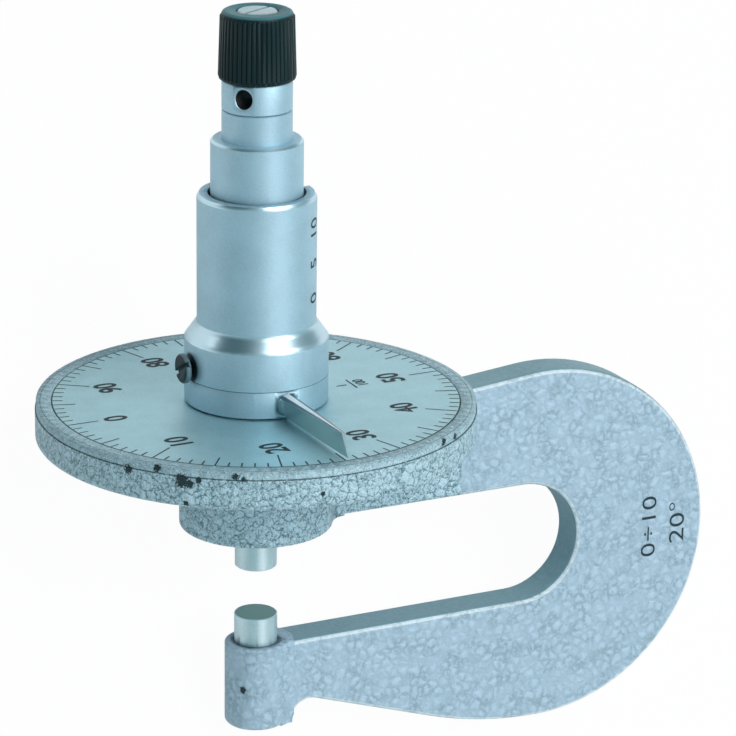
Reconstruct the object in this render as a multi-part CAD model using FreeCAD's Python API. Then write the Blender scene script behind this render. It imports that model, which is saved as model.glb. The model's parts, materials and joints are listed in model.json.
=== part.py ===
import FreeCAD, Part
import math
import os

# Disc micrometer for sheet and wall thickness, in millimetres.
# It is modelled in its own measuring frame and laid on its side at the end.
# Measuring frame: origin at the middle of the anvil's face, +Z along the spindle
# towards the ratchet, +X from the spindle to the back of the bow.
# The dial reads 25 hundredths, so the gap between the measuring faces is 7.25.

# Driving dimensions

# Measuring faces and screw
gap = 7.25
gap_max = 10.0
spindle_r = 3.0
spindle_thread_r = 3.5
anvil_r = 3.08
anvil_stand = 4.25
anvil_length = 12.0
face_chamfer = 0.15

# Fits, all radial
running_fit = 0.03
sliding_fit = 0.05
free_fit = 0.15
face_gap = 0.05
stop_gap = 0.4

# Bow, arms and boss of the frame
plate_t = 6.0
edge_round = 0.8
throat_depth = 50.7
throat_height = 17.95
bow_r = 27.05
bow_centre_x = 45.2
bow_centre_z = 3.9
heel_r = 57.0
arm_taper = 18.5
upper_arm_top_drop = 2.9
boss_r = 4.45
boss_height = 12.55
boss_fillet = 3.0
boss_blend = 4.0

# Hub and dish of the frame
dish_r = 31.0
dish_drop = 5.5
dish_band = 1.1
dish_band_step = 0.15
arm_inset = 3.0
dish_edge_round = 0.8
hub_r = 10.88
hub_length = 13.1
hub_blend = 3.0
hub_cone_r = 14.0
hub_cone_length = 3.0

# Dial plate
dial_r = 28.65
dial_t = 0.8
dial_edge_gap = 0.1

# Fixed stem in the hub
stem_r = 5.0
stem_flange_r = 7.6
stem_flange_t = 1.2
stem_shoulder_r = 6.8
stem_shoulder_t = 2.8
journal_r = 5.6
journal_length = 1.1
stem_tube_r = 4.9
stem_top_r = 4.2
stem_length_over_dial = 25.1
stem_slit_width = 0.5
stem_slit_length = 8.0
guide_length = 18.8
adjusting_nut_t = 4.0
adjusting_nut_notches = 4
adjusting_notch_depth = 1.5
adjusting_notch_width = 1.0
adjusting_nut_wall = 0.25
retaining_nut_t = 1.0
retaining_notch_depth = 0.6
retaining_notch_width = 1.2
retaining_nut_wall = 0.6
thread_run_out = 1.6
thread_start = 0.3
wave_washer_t = 0.25

# Turning barrel with its slot
barrel_r = 8.35
barrel_bore_r = 6.55
barrel_length = 25.95
barrel_chamfer = 0.6
barrel_chamfer_in = 0.36
barrel_mouth_r = 6.8
barrel_mouth_depth = 2.0
flange_r = 10.1
flange_length = 5.2
cone_length = 2.5
lip_t = 0.6
flange_wall = 1.1
inner_wall = 1.3
collar_groove_depth = 3.9
slot_width = 2.1
slot_start = 10.45
slot_angle = 7.2

# Pointer ring and pointer
ring_height = 3.75
ring_gap = 0.25
ring_chamfer = 0.1
split_gap = 0.06
collar_height = 3.6
collar_t = 0.85
pointer_rod_r = 1.5
pointer_length = 19.4
pointer_tip_slant = 1.9
pointer_tip_t = 0.25
pointer_cut_start = 0.2
pointer_neck = 1.3
pointer_root_t = 2.1
pointer_seat = 0.9

# Clamp screw
clamp_head_r = 2.1
clamp_head_t = 0.9
clamp_shank_r = 1.0
clamp_stand = 0.6
clamp_over_split = 1.85
clamp_chamfer = 0.2
clamp_slot_width = 0.6
clamp_slot_depth = 0.5
clamp_slot_angle = -57.0

# Thimble and its key
thimble_r = 6.45
thimble_bore_r = 5.15
thimble_length = 24.0
thimble_top_t = 3.5
thimble_chamfer = 0.35
key_r = 1.0
key_drop = 0.25

# Spindle head: seat cone, nut and ratchet
seat_cone_big_r = 4.2
seat_cone_small_r = 3.3
seat_collar_length = 1.5
neck_r = 4.9
lower_neck_height = 4.1
neck_split = 0.1
neck_chamfer = 0.15
upper_neck_height = 4.0
spindle_end_r = 2.5
spindle_end_drop = 1.2
wrench_hole_r = 1.25
wrench_hole_depth = 2.0
wrench_hole_angle = 222.0
wrench_hole_drop = 1.75
wrench_sink = 0.35
wrench_sink_width = 1.0

# Ratchet
knob_top_r = 5.12
knob_bottom_r = 5.42
knob_height = 9.55
knob_ribs = 48
rib_depth = 0.22
rib_top_land = 0.75
rib_bottom_land = 0.55
rib_top_share = 0.56
rib_valley_share = 0.16
foot_chamfer = 0.2
foot_chamfer_in = 0.25
cap_round = (0.35, 0.15, 0.15, 0.45)
knob_bore_r = 4.2
knob_floor_t = 3.55
knob_seat_gap = 0.2
post_r = 1.9
post_flat = 1.5
spigot_height = 1.4
screw_head_r = 2.75
screw_head_t = 1.3
screw_chamfer = 0.2
screw_shank_r = 1.0
screw_shank_length = 5.0
screw_slot_width = 0.5
screw_slot_depth = 0.5
screw_slot_angle = 28.0
screw_recess_r = 3.0
screw_recess_depth = 1.55
knob_washer_t = 0.2
wheel_t = 0.9
pawl_t = 0.9
tooth_height = 0.35
tooth_count = 24
tooth_hub = 0.9
tooth_rim = 0.6
spring_wire = 0.4
spring_pieces_a_turn = 4
spring_turns = 2

# Heights that follow from the sizes above
throat_floor_z = -anvil_stand
throat_top_z = throat_floor_z + throat_height
hub_bottom_z = throat_top_z
boss_bottom_z = throat_floor_z - boss_height
dish_bottom_z = hub_bottom_z + hub_length
dial_face_z = dish_bottom_z + dish_drop
dial_seat_z = dial_face_z - dial_t
arm_top_z = dial_face_z - upper_arm_top_drop
stem_top_z = dial_face_z + stem_length_over_dial
flange_top_z = dial_face_z + stem_flange_t
shoulder_top_z = flange_top_z + stem_shoulder_t
journal_top_z = shoulder_top_z + journal_length
ring_bottom_z = dial_face_z + ring_gap
ring_top_z = ring_bottom_z + ring_height
barrel_bottom_z = ring_top_z + split_gap
barrel_top_z = barrel_bottom_z + barrel_length
thimble_top_z = barrel_top_z + face_gap + stop_gap + gap
thimble_bottom_z = thimble_top_z - thimble_length
upper_neck_z = thimble_top_z + lower_neck_height + neck_split
neck_top_z = upper_neck_z + upper_neck_height
knob_bottom_z = neck_top_z + knob_seat_gap
knob_top_z = knob_bottom_z + knob_height
slot_bottom_z = barrel_bottom_z + slot_start
key_z = slot_bottom_z + key_r + face_gap + gap
clamp_z = ring_top_z + clamp_over_split
guide_top_z = hub_bottom_z + guide_length
nut_thread_bottom_z = guide_top_z + gap_max + thread_run_out

# Angle by which the part leans when it lies on the dish and the heel of the bow
bow_bottom_z = bow_centre_z - bow_r
lie_angle = math.degrees(math.atan2(dish_r - plate_t / 2, dish_bottom_z - bow_bottom_z))

vec = FreeCAD.Vector
up = vec(0, 0, 1)


def rod(radius, z0, z1, x=0, y=0):
    return Part.makeCylinder(radius, z1 - z0, vec(x, y, z0), up)


def tube(outer, inner, z0, z1):
    return rod(outer, z0, z1).cut(rod(inner, z0 - 1, z1 + 1))


def turned(points):
    """Solid of revolution about the spindle's axis from (radius, z) corners."""
    wire = Part.makePolygon([vec(r, 0, z) for r, z in points + points[:1]])
    return Part.Face(wire).revolve(vec(0, 0, 0), up, 360)


def box(x0, x1, y0, y1, z0, z1):
    return Part.makeBox(x1 - x0, y1 - y0, z1 - z0, vec(x0, y0, z0))


def turned_about(shape, angle, axis=up, centre=vec(0, 0, 0)):
    copy = shape.copy()
    copy.rotate(centre, axis, angle)
    return copy


def arc(start, middle, end):
    return Part.Arc(start, middle, end).toShape()


def line(start, end):
    return Part.makeLine(start, end)


def on_circle(cx, cz, radius, degrees):
    a = math.radians(degrees)
    return vec(cx + radius * math.cos(a), 0, cz + radius * math.sin(a))


def bow_outline():
    """Side view of the plate: both arms, the bow and the throat, in the XZ plane."""
    # Upper edge: a straight from the dish, tangent to the bow
    from_dish = vec(dish_r - arm_inset, 0, arm_top_z)
    dx = bow_centre_x - from_dish.x
    dz = bow_centre_z - from_dish.z
    reach = math.hypot(dx, dz)
    swing = math.degrees(math.acos(bow_r / reach))
    toward_dish = math.degrees(math.atan2(-dz, -dx))
    top_angle = toward_dish - swing
    top_tangent = on_circle(bow_centre_x, bow_centre_z, bow_r, top_angle)
    bow_back = on_circle(bow_centre_x, bow_centre_z, bow_r, (top_angle - 90) / 2)
    bow_bottom = on_circle(bow_centre_x, bow_centre_z, bow_r, -90)
    # Lower edge: the heel, a gentler arc, then the tapering arm
    heel_z = bow_bottom.z + heel_r
    heel_middle = on_circle(bow_centre_x, heel_z, heel_r, -90 - arm_taper / 2)
    heel_end = on_circle(bow_centre_x, heel_z, heel_r, -90 - arm_taper)
    # Fillet from the arm's underside down the boss
    slope = math.tan(math.radians(arm_taper))
    fillet_x = boss_r + boss_fillet
    drop = boss_fillet / math.cos(math.radians(arm_taper))
    fillet_z = heel_end.z + slope * (heel_end.x - fillet_x) - drop
    fillet_start = on_circle(fillet_x, fillet_z, boss_fillet, 90 - arm_taper)
    fillet_middle = on_circle(fillet_x, fillet_z, boss_fillet, 135 - arm_taper / 2)
    fillet_end = on_circle(fillet_x, fillet_z, boss_fillet, 180)
    # Throat: two straights and a half round
    throat_r = throat_height / 2
    throat_x = throat_depth - throat_r
    throat_mid_z = (throat_floor_z + throat_top_z) / 2
    corners = [
        vec(0, 0, fillet_end.z),
        vec(0, 0, throat_floor_z),
        vec(throat_x, 0, throat_floor_z),
        vec(throat_x, 0, throat_top_z),
        vec(0, 0, throat_top_z),
        vec(0, 0, arm_top_z),
    ]
    edges = [
        line(from_dish, top_tangent),
        arc(top_tangent, bow_back, bow_bottom),
        arc(bow_bottom, heel_middle, heel_end),
        line(heel_end, fillet_start),
        arc(fillet_start, fillet_middle, fillet_end),
        line(fillet_end, corners[0]),
        line(corners[0], corners[1]),
        line(corners[1], corners[2]),
        arc(corners[2], vec(throat_depth, 0, throat_mid_z), corners[3]),
        line(corners[3], corners[4]),
        line(corners[4], corners[5]),
        line(corners[5], from_dish),
    ]
    return Part.Face(Part.Wire(edges))


def plate():
    """The 6 mm plate of the frame with its long edges rounded."""
    face = bow_outline()
    face.translate(vec(0, -plate_t / 2, 0))
    solid = face.extrude(vec(0, plate_t, 0))
    rims = []
    for edge in solid.Edges:
        ends = [v.Point.y for v in edge.Vertexes]
        flat = max(ends) - min(ends) < 1e-6
        inside = edge.BoundBox.XMax < 1e-6
        if flat and not inside:
            rims.append(edge)
    return solid.makeFillet(edge_round, rims)


def web_blend(radius, fillet, z0, z1):
    """Prism that fills the two corners, seen from above, between a round and the plate."""
    half = plate_t / 2
    centre_y = half + fillet
    centre_x = math.sqrt((radius + fillet) ** 2 - centre_y ** 2)
    toward = math.atan2(centre_y, centre_x)
    touch = vec(radius * math.cos(toward), radius * math.sin(toward), z0)
    middle_angle = (toward - math.pi / 2) / 2 - math.pi / 2
    middle = vec(centre_x + fillet * math.cos(middle_angle), centre_y + fillet * math.sin(middle_angle), z0)
    straight = vec(centre_x, half, z0)
    low = [vec(p.x, -p.y, p.z) for p in (touch, middle, straight)]
    edges = [
        arc(touch, middle, straight),
        line(straight, low[2]),
        arc(low[2], low[1], low[0]),
        line(low[0], vec(0, 0, z0)),
        line(vec(0, 0, z0), touch),
    ]
    return Part.Face(Part.Wire(edges)).extrude(vec(0, 0, z1 - z0))


def dish():
    """Hub and dish in one turning, with the dial's seat above and a cone between them below."""
    band_r = dish_r - dish_band_step
    body = turned([
        (0, hub_bottom_z),
        (hub_r, hub_bottom_z),
        (hub_r, dish_bottom_z - hub_cone_length),
        (hub_cone_r, dish_bottom_z),
        (dish_r, dish_bottom_z),
        (dish_r, dial_face_z - dish_band),
        (band_r, dial_face_z - dish_band),
        (band_r, dial_face_z),
        (dial_r + dial_edge_gap, dial_face_z),
        (dial_r + dial_edge_gap, dial_seat_z),
        (0, dial_seat_z),
    ])
    lower_rim = [e for e in body.Edges if on_level(e, dish_r, dish_bottom_z)]
    body = body.makeFillet(dish_edge_round, lower_rim)
    hub_rim = [e for e in body.Edges if on_level(e, hub_r, hub_bottom_z)]
    return body.makeFillet(edge_round / 2, hub_rim)


def on_level(edge, radius, z):
    """True for a full circle of this radius at this height about the spindle's axis."""
    bounds = edge.BoundBox
    level = abs(bounds.ZMin - z) < 1e-4 and abs(bounds.ZMax - z) < 1e-4
    return level and abs(bounds.XMax - radius) < 1e-3 and abs(bounds.XMin + radius) < 1e-3


def boss():
    """Round boss that holds the anvil, rounded at its foot."""
    body = rod(boss_r, boss_bottom_z, throat_floor_z)
    rims = [e for e in body.Edges if on_level(e, boss_r, boss_bottom_z)]
    body = body.makeFillet(edge_round, rims)
    rims = [e for e in body.Edges if on_level(e, boss_r, throat_floor_z)]
    return body.makeFillet(edge_round / 2, rims)


def frame():
    side = bow_outline()
    side.translate(vec(0, -hub_r, 0))
    side = side.extrude(vec(0, 2 * hub_r, 0))
    boss_corner = web_blend(boss_r, boss_blend, boss_bottom_z, throat_floor_z).common(side)
    hub_corner = web_blend(hub_r, hub_blend, hub_bottom_z, dish_bottom_z)
    casting = plate().multiFuse([dish(), boss(), boss_corner, hub_corner])
    casting = casting.cut(rod(stem_r, hub_bottom_z - 1, dial_face_z))
    casting = casting.cut(rod(anvil_r, -anvil_length, 0))
    return casting.removeSplitter()


def anvil():
    pin = rod(anvil_r, -anvil_length, 0)
    return pin.makeChamfer(face_chamfer, [e for e in pin.Edges if on_level(e, anvil_r, 0)])


def dial_plate():
    return tube(dial_r, stem_r, dial_seat_z, dial_face_z)


def stem():
    """Fixed tube: pressed in the hub, clamps the dial, guides the spindle and holds its nut thread."""
    body = turned([
        (0, hub_bottom_z),
        (stem_r, hub_bottom_z),
        (stem_r, dial_face_z),
        (stem_flange_r, dial_face_z),
        (stem_flange_r, flange_top_z),
        (stem_shoulder_r, flange_top_z),
        (stem_shoulder_r, shoulder_top_z),
        (journal_r, shoulder_top_z),
        (journal_r, journal_top_z),
        (stem_tube_r, journal_top_z),
        (stem_tube_r, stem_top_z - adjusting_nut_t - face_gap),
        (stem_top_r, stem_top_z - adjusting_nut_t - face_gap),
        (stem_top_r, stem_top_z),
        (0, stem_top_z),
    ])
    body = body.cut(rod(spindle_r + running_fit, hub_bottom_z - 1, stem_top_z + 1))
    body = body.cut(rod(spindle_thread_r + free_fit, guide_top_z, nut_thread_bottom_z))
    body = body.cut(rod(spindle_thread_r + running_fit, nut_thread_bottom_z, stem_top_z + 1))
    half = stem_slit_width / 2
    slit = box(-half, half, -stem_r - 1, stem_r + 1, stem_top_z - stem_slit_length, stem_top_z + 1)
    return body.cut(slit)


def retaining_nut():
    z0 = journal_top_z
    ring = tube(barrel_bore_r - free_fit, stem_tube_r, z0, z0 + retaining_nut_t)
    half = retaining_notch_width / 2
    floor_z = z0 + retaining_nut_t - retaining_notch_depth
    notch = box(stem_tube_r + retaining_nut_wall, barrel_bore_r + 1, -half, half, floor_z, floor_z + 1)
    for side in range(2):
        ring = ring.cut(turned_about(notch, 90 + 180 * side))
    return ring


def wave_washer():
    z0 = journal_top_z - wave_washer_t - face_gap
    return tube(barrel_bore_r - free_fit, journal_r + sliding_fit, z0, z0 + wave_washer_t)


def adjusting_nut():
    z0 = stem_top_z - adjusting_nut_t
    ring = tube(stem_tube_r, stem_top_r, z0, stem_top_z)
    half = adjusting_notch_width / 2
    floor_z = stem_top_z - adjusting_notch_depth
    notch = box(stem_top_r + adjusting_nut_wall, stem_tube_r + 1, -half, half, floor_z, stem_top_z + 1)
    for index in range(adjusting_nut_notches):
        ring = ring.cut(turned_about(notch, (index + 0.5) * 360 / adjusting_nut_notches))
    return ring


def barrel():
    """Turning tube with a flared base, an open slot for the thimble's key and a groove for the ring's collar."""
    cone_top_z = barrel_bottom_z + flange_length + cone_length
    body = turned([
        (0, barrel_bottom_z),
        (flange_r, barrel_bottom_z),
        (flange_r, barrel_bottom_z + flange_length),
        (barrel_r, cone_top_z),
        (barrel_r, barrel_top_z - barrel_chamfer),
        (barrel_r - barrel_chamfer_in, barrel_top_z),
        (0, barrel_top_z),
    ])
    lip_top_z = journal_top_z - wave_washer_t - 2 * face_gap
    body = body.cut(rod(journal_r + sliding_fit, barrel_bottom_z - 1, barrel_top_z + 1))
    body = body.cut(rod(barrel_bore_r, lip_top_z, barrel_top_z + 1))
    body = body.cut(rod(barrel_mouth_r, barrel_top_z - barrel_mouth_depth, barrel_top_z + 1))
    seat = rod(stem_shoulder_r + free_fit, barrel_bottom_z - 1, shoulder_top_z + face_gap)
    body = body.cut(seat)
    groove_outer = flange_r - flange_wall
    groove_inner = barrel_bore_r + inner_wall
    groove = tube(groove_outer, groove_inner, barrel_bottom_z - 1, barrel_bottom_z + collar_groove_depth)
    body = body.cut(groove)
    half = slot_width / 2
    slot_round = Part.makeCylinder(half, barrel_r + 2, vec(0, 0, slot_bottom_z + half), vec(1, 0, 0))
    slot = box(0, barrel_r + 2, -half, half, slot_bottom_z + half, barrel_top_z + 1)
    body = body.cut(turned_about(slot.fuse(slot_round), slot_angle))
    clamp_hole = Part.makeCylinder(clamp_shank_r, flange_r + 1, vec(0, 0, clamp_z), vec(-1, 0, 0))
    keep_inner = rod(groove_inner, clamp_z - 2, clamp_z + 2)
    return body.cut(clamp_hole.cut(keep_inner))


def pointer_ring():
    """Ring with an inner collar that rises inside the barrel's flange; the pointer is pressed in it."""
    groove_outer = flange_r - flange_wall
    collar_r = groove_outer - sliding_fit
    inner = collar_r - collar_t
    ring = turned([
        (inner, ring_bottom_z),
        (flange_r - ring_chamfer, ring_bottom_z),
        (flange_r, ring_bottom_z + ring_chamfer),
        (flange_r, ring_top_z),
        (collar_r, ring_top_z),
        (collar_r, ring_top_z + collar_height),
        (inner, ring_top_z + collar_height),
    ])
    hole = Part.makeCylinder(pointer_rod_r, flange_r + 1, vec(0, pointer_seat - flange_r, pointer_z()), vec(0, -1, 0))
    return ring.cut(hole)


def pointer_z():
    return (ring_bottom_z + ring_top_z) / 2


def pointer():
    """Round rod milled on both sides to an upright knife edge, its end cut on a slant."""
    z = pointer_z()
    root_y = pointer_seat - flange_r
    tip_y = -flange_r - pointer_length
    body = Part.makeCylinder(pointer_rod_r, root_y - tip_y, vec(0, root_y, z), vec(0, -1, 0))
    cut_y = -flange_r - pointer_cut_start
    reach = 2 * pointer_rod_r
    for side in (-1, 1):
        wedge = Part.makePolygon([
            vec(side * pointer_rod_r, cut_y, z - reach),
            vec(side * pointer_root_t / 2, cut_y - pointer_neck, z - reach),
            vec(side * pointer_tip_t / 2, tip_y, z - reach),
            vec(side * pointer_tip_t / 2, tip_y - 1, z - reach),
            vec(side * reach, tip_y - 1, z - reach),
            vec(side * reach, cut_y, z - reach),
            vec(side * pointer_rod_r, cut_y, z - reach),
        ])
        body = body.cut(Part.Face(wedge).extrude(vec(0, 0, 2 * reach)))
    slant = Part.makePolygon([
        vec(-reach, tip_y - 1, z - pointer_rod_r),
        vec(-reach, tip_y, z - pointer_rod_r),
        vec(-reach, tip_y + pointer_tip_slant, z + pointer_rod_r),
        vec(-reach, tip_y - 1, z + pointer_rod_r),
        vec(-reach, tip_y - 1, z - pointer_rod_r),
    ])
    return body.cut(Part.Face(slant).extrude(vec(2 * reach, 0, 0)))


def clamp_screw():
    """Small slotted screw along -X that holds the pointer ring's collar."""
    groove_outer = flange_r - flange_wall
    tip = groove_outer - sliding_fit + face_gap
    head = flange_r + clamp_stand
    outline = turned([
        (0, tip),
        (clamp_shank_r, tip),
        (clamp_shank_r, head),
        (clamp_head_r - clamp_chamfer, head),
        (clamp_head_r, head + clamp_chamfer),
        (clamp_head_r, head + clamp_head_t - clamp_chamfer),
        (clamp_head_r - clamp_chamfer, head + clamp_head_t),
        (0, head + clamp_head_t),
    ])
    half = clamp_slot_width / 2
    top = head + clamp_head_t
    slot = box(-clamp_head_r, clamp_head_r, -half, half, top - clamp_slot_depth, top + 1)
    outline = outline.cut(turned_about(slot, clamp_slot_angle))
    screw = turned_about(outline, -90, vec(0, 1, 0))
    screw.translate(vec(0, 0, clamp_z))
    return screw


def thimble():
    """Sliding sleeve, closed at the top by the wall that seats on the spindle's cone."""
    body = turned([
        (0, thimble_bottom_z),
        (thimble_r, thimble_bottom_z),
        (thimble_r, thimble_top_z - thimble_chamfer),
        (thimble_r - thimble_chamfer, thimble_top_z),
        (0, thimble_top_z),
    ])
    cavity = rod(thimble_bore_r, thimble_bottom_z - 1, thimble_top_z - thimble_top_t)
    body = body.cut(cavity)
    body = body.cut(seat_cone())
    key_hole = Part.makeCylinder(key_r, thimble_r + 1, vec(0, 0, key_z), vec(1, 0, 0))
    return body.cut(turned_about(key_hole, slot_angle))


def seat_cone():
    z0 = thimble_top_z - thimble_top_t
    return turned([
        (0, z0),
        (seat_cone_big_r, z0),
        (seat_cone_small_r, thimble_top_z),
        (0, thimble_top_z),
    ])


def index_key():
    """Round key fixed in the thimble; it runs in the barrel's slot and marks whole millimetres."""
    inner = thimble_bore_r + face_gap
    outer = barrel_r - key_drop
    key = Part.makeCylinder(key_r, outer - inner, vec(inner, 0, key_z), vec(1, 0, 0))
    return turned_about(key, slot_angle)


def spindle():
    """Measuring pin, screw, seat cone and threaded head in one piece."""
    seat_z = thimble_top_z - thimble_top_t
    thread_bottom_z = guide_top_z + gap + thread_start
    collar_z = seat_z - seat_collar_length
    head_top_z = neck_top_z - spindle_end_drop
    return turned([
        (0, gap),
        (spindle_r - face_chamfer, gap),
        (spindle_r, gap + face_chamfer),
        (spindle_r, thread_bottom_z),
        (spindle_thread_r, thread_bottom_z),
        (spindle_thread_r, collar_z),
        (seat_cone_big_r, collar_z),
        (seat_cone_big_r, seat_z),
        (seat_cone_small_r, thimble_top_z),
        (spindle_end_r, thimble_top_z),
        (spindle_end_r, head_top_z),
        (0, head_top_z),
    ])


def thimble_nut():
    """Lower neck: nut that draws the thimble onto the spindle's cone."""
    z0 = thimble_top_z
    z1 = z0 + lower_neck_height
    return turned([
        (spindle_end_r, z0),
        (neck_r, z0),
        (neck_r, z1 - neck_chamfer),
        (neck_r - neck_chamfer, z1),
        (spindle_end_r, z1),
    ])


def ratchet_body():
    """Upper neck with the wrench hole, and the flatted post that carries the ratchet."""
    z0 = upper_neck_z
    spigot_z = neck_top_z + spigot_height
    post_z = post_top_z()
    body = turned([
        (0, z0),
        (neck_r - neck_chamfer, z0),
        (neck_r, z0 + neck_chamfer),
        (neck_r, neck_top_z),
        (knob_bore_r - sliding_fit, neck_top_z),
        (knob_bore_r - sliding_fit, spigot_z),
        (post_r, spigot_z),
        (post_r, post_z),
        (0, post_z),
    ])
    body = body.cut(rod(spindle_end_r, z0 - 1, neck_top_z - spindle_end_drop))
    body = body.cut(rod(screw_shank_r, post_z - screw_shank_length, post_z + 1))
    flats_z = pawl_bottom_z() + pawl_t + tooth_height
    for side in (-1, 1):
        flat = box(post_flat, post_r + 1, -post_r, post_r, spigot_z, flats_z)
        body = body.cut(turned_about(flat, 90 + 90 * side))
    outwards = vec(1, 0, 0)
    floor = vec(neck_r - wrench_hole_depth, 0, 0)
    hole = Part.makeCylinder(wrench_hole_r, wrench_hole_depth + 1, floor, outwards)
    sink_start = vec(neck_r - wrench_sink, 0, 0)
    sink = Part.makeCone(wrench_hole_r, wrench_hole_r + wrench_sink_width, 1, sink_start, outwards)
    hole = turned_about(hole.fuse(sink), wrench_hole_angle)
    hole.translate(vec(0, 0, neck_top_z - wrench_hole_drop))
    return body.cut(hole)


def wheel_bottom_z():
    return knob_top_z - knob_floor_t - wheel_t


def pawl_bottom_z():
    return wheel_bottom_z() - tooth_height - face_gap - tooth_height - pawl_t


def post_top_z():
    return knob_top_z - screw_recess_depth + face_gap


def knob_outline(radius, valley):
    """Ribbed section of the knob, seen from above, as one closed wire of straight flanks."""
    points = []
    step = 2 * math.pi / knob_ribs
    top = rib_top_share / 2
    floor = rib_valley_share / 2
    for index in range(knob_ribs):
        for share, r in ((-top, radius), (top, radius), (0.5 - floor, valley), (0.5 + floor, valley)):
            a = (index + share) * step
            points.append(vec(r * math.cos(a), r * math.sin(a), 0))
    return Part.makePolygon(points + points[:1])


def ratchet_knob():
    """Plastic cap: tapered, ribbed all round, with plain lands at the top and the foot."""
    full_height = knob_top_z - knob_bottom_z
    ribs_z0 = knob_bottom_z + rib_bottom_land
    ribs_z1 = knob_top_z - rib_top_land
    taper = (knob_bottom_r - knob_top_r) / full_height

    def radius_at(z):
        return knob_bottom_r - taper * (z - knob_bottom_z)

    wires = []
    for z in (ribs_z0, ribs_z1):
        wire = knob_outline(radius_at(z), radius_at(z) - rib_depth)
        wire.translate(vec(0, 0, z))
        wires.append(wire)
    ribbed = Part.makeLoft(wires, True, True)
    low_r = radius_at(ribs_z0) - rib_depth / 2
    foot = turned([
        (0, knob_bottom_z),
        (low_r - foot_chamfer_in, knob_bottom_z),
        (low_r, knob_bottom_z + foot_chamfer),
        (low_r, ribs_z0),
        (0, ribs_z0),
    ])
    high_r = radius_at(ribs_z1) - rib_depth
    wall, shoulder, shoulder_in, edge_in = cap_round
    cap = turned([
        (0, ribs_z1),
        (high_r, ribs_z1),
        (high_r, ribs_z1 + wall),
        (high_r - shoulder_in, knob_top_z - shoulder),
        (high_r - edge_in, knob_top_z),
        (0, knob_top_z),
    ])
    body = ribbed.fuse(foot).fuse(cap)
    body = body.cut(rod(knob_bore_r, knob_bottom_z - 1, knob_top_z - knob_floor_t))
    body = body.cut(rod(post_r + sliding_fit, knob_bottom_z, knob_top_z + 1))
    return body.cut(rod(screw_recess_r, knob_top_z - screw_recess_depth, knob_top_z + 1))


def ratchet_wheel():
    """Toothed ring fixed under the knob's roof."""
    z0 = wheel_bottom_z()
    inner = post_r + free_fit
    ring = tube(knob_bore_r, inner, z0, z0 + wheel_t)
    grooves = radial_grooves(z0 - 1, z0 + tooth_height / 2)
    return ring.cut(grooves)


def radial_grooves(z0, z1):
    """Comb of narrow radial bars that cuts square teeth into a face."""
    bars = []
    width = math.pi * (knob_bore_r - tooth_rim) / tooth_count
    for index in range(tooth_count):
        bar = box(post_r + tooth_hub, knob_bore_r + 1, -width / 2, width / 2, z0, z1)
        bars.append(turned_about(bar, index * 360 / tooth_count))
    return Part.makeCompound(bars)


def ratchet_pawl():
    """Toothed washer that slides on the post's flats and can't turn on it."""
    z0 = pawl_bottom_z()
    top = z0 + pawl_t + tooth_height
    ring = rod(knob_bore_r - free_fit, z0, top)
    hole = rod(post_r + sliding_fit, z0 - 1, top + 1)
    half = post_flat + sliding_fit
    hole = hole.common(box(-half, half, -post_r - 1, post_r + 1, z0 - 1, top + 1))
    ring = ring.cut(hole)
    return ring.cut(radial_grooves(top - tooth_height, top + 1))


def ratchet_spring():
    """Square wire coil between the body's spigot and the pawl."""
    coil_r = (knob_bore_r + post_r) / 2
    z0 = neck_top_z + spigot_height + spring_wire
    z1 = pawl_bottom_z() - spring_wire
    pitch = (z1 - z0) / spring_turns
    rise_each = pitch / spring_pieces_a_turn
    path = Part.makeHelix(pitch, rise_each, coil_r)
    first = path.Edges[0]
    start = first.valueAt(first.FirstParameter)
    heading = first.tangentAt(first.FirstParameter)
    side = vec(spring_wire / 2, 0, 0)
    rise = heading.cross(side)
    corners = [start - side - rise, start + side - rise, start + side + rise, start - side + rise]
    section = Part.makePolygon(corners + corners[:1])
    piece = Part.Wire(path.Edges).makePipeShell([section], True, True)
    pieces = []
    for index in range(spring_turns * spring_pieces_a_turn):
        turn = turned_about(piece, index * 360 / spring_pieces_a_turn)
        turn.translate(vec(0, 0, z0 + index * rise_each))
        pieces.append(turn)
    return pieces[0].multiFuse(pieces[1:])


def knob_washer():
    z0 = post_top_z()
    return tube(screw_head_r, screw_shank_r, z0, z0 + knob_washer_t)


def ratchet_screw():
    z0 = post_top_z() + knob_washer_t
    top = z0 + screw_head_t
    body = turned([
        (0, post_top_z() - screw_shank_length),
        (screw_shank_r, post_top_z() - screw_shank_length),
        (screw_shank_r, z0),
        (screw_head_r, z0),
        (screw_head_r, top - screw_chamfer),
        (screw_head_r - screw_chamfer, top),
        (0, top),
    ])
    half = screw_slot_width / 2
    slot = box(-screw_head_r - 1, screw_head_r + 1, -half, half, top - screw_slot_depth, top + 1)
    return body.cut(turned_about(slot, screw_slot_angle))


def laid_down(shape):
    """The part can't stand, so it lies on its back: on the dish's rim and the heel of the bow."""
    return turned_about(shape, lie_angle - 90, vec(1, 0, 0))


NODES = {
    "frame": frame,
    "anvil": anvil,
    "dial_plate": dial_plate,
    "stem": stem,
    "retaining_nut": retaining_nut,
    "wave_washer": wave_washer,
    "adjusting_nut": adjusting_nut,
    "barrel": barrel,
    "pointer_ring": pointer_ring,
    "pointer": pointer,
    "clamp_screw": clamp_screw,
    "spindle": spindle,
    "thimble": thimble,
    "index_key": index_key,
    "thimble_nut": thimble_nut,
    "ratchet_body": ratchet_body,
    "ratchet_spring": ratchet_spring,
    "ratchet_pawl": ratchet_pawl,
    "ratchet_knob": ratchet_knob,
    "ratchet_wheel": ratchet_wheel,
    "knob_washer": knob_washer,
    "ratchet_screw": ratchet_screw,
}

os.makedirs("parts", exist_ok=True)
for name, make in NODES.items():
    shape = laid_down(make())
    print(name, len(shape.Solids), shape.isValid(), round(shape.Volume, 2))
    shape.exportStep("parts/" + name + ".step")
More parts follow.
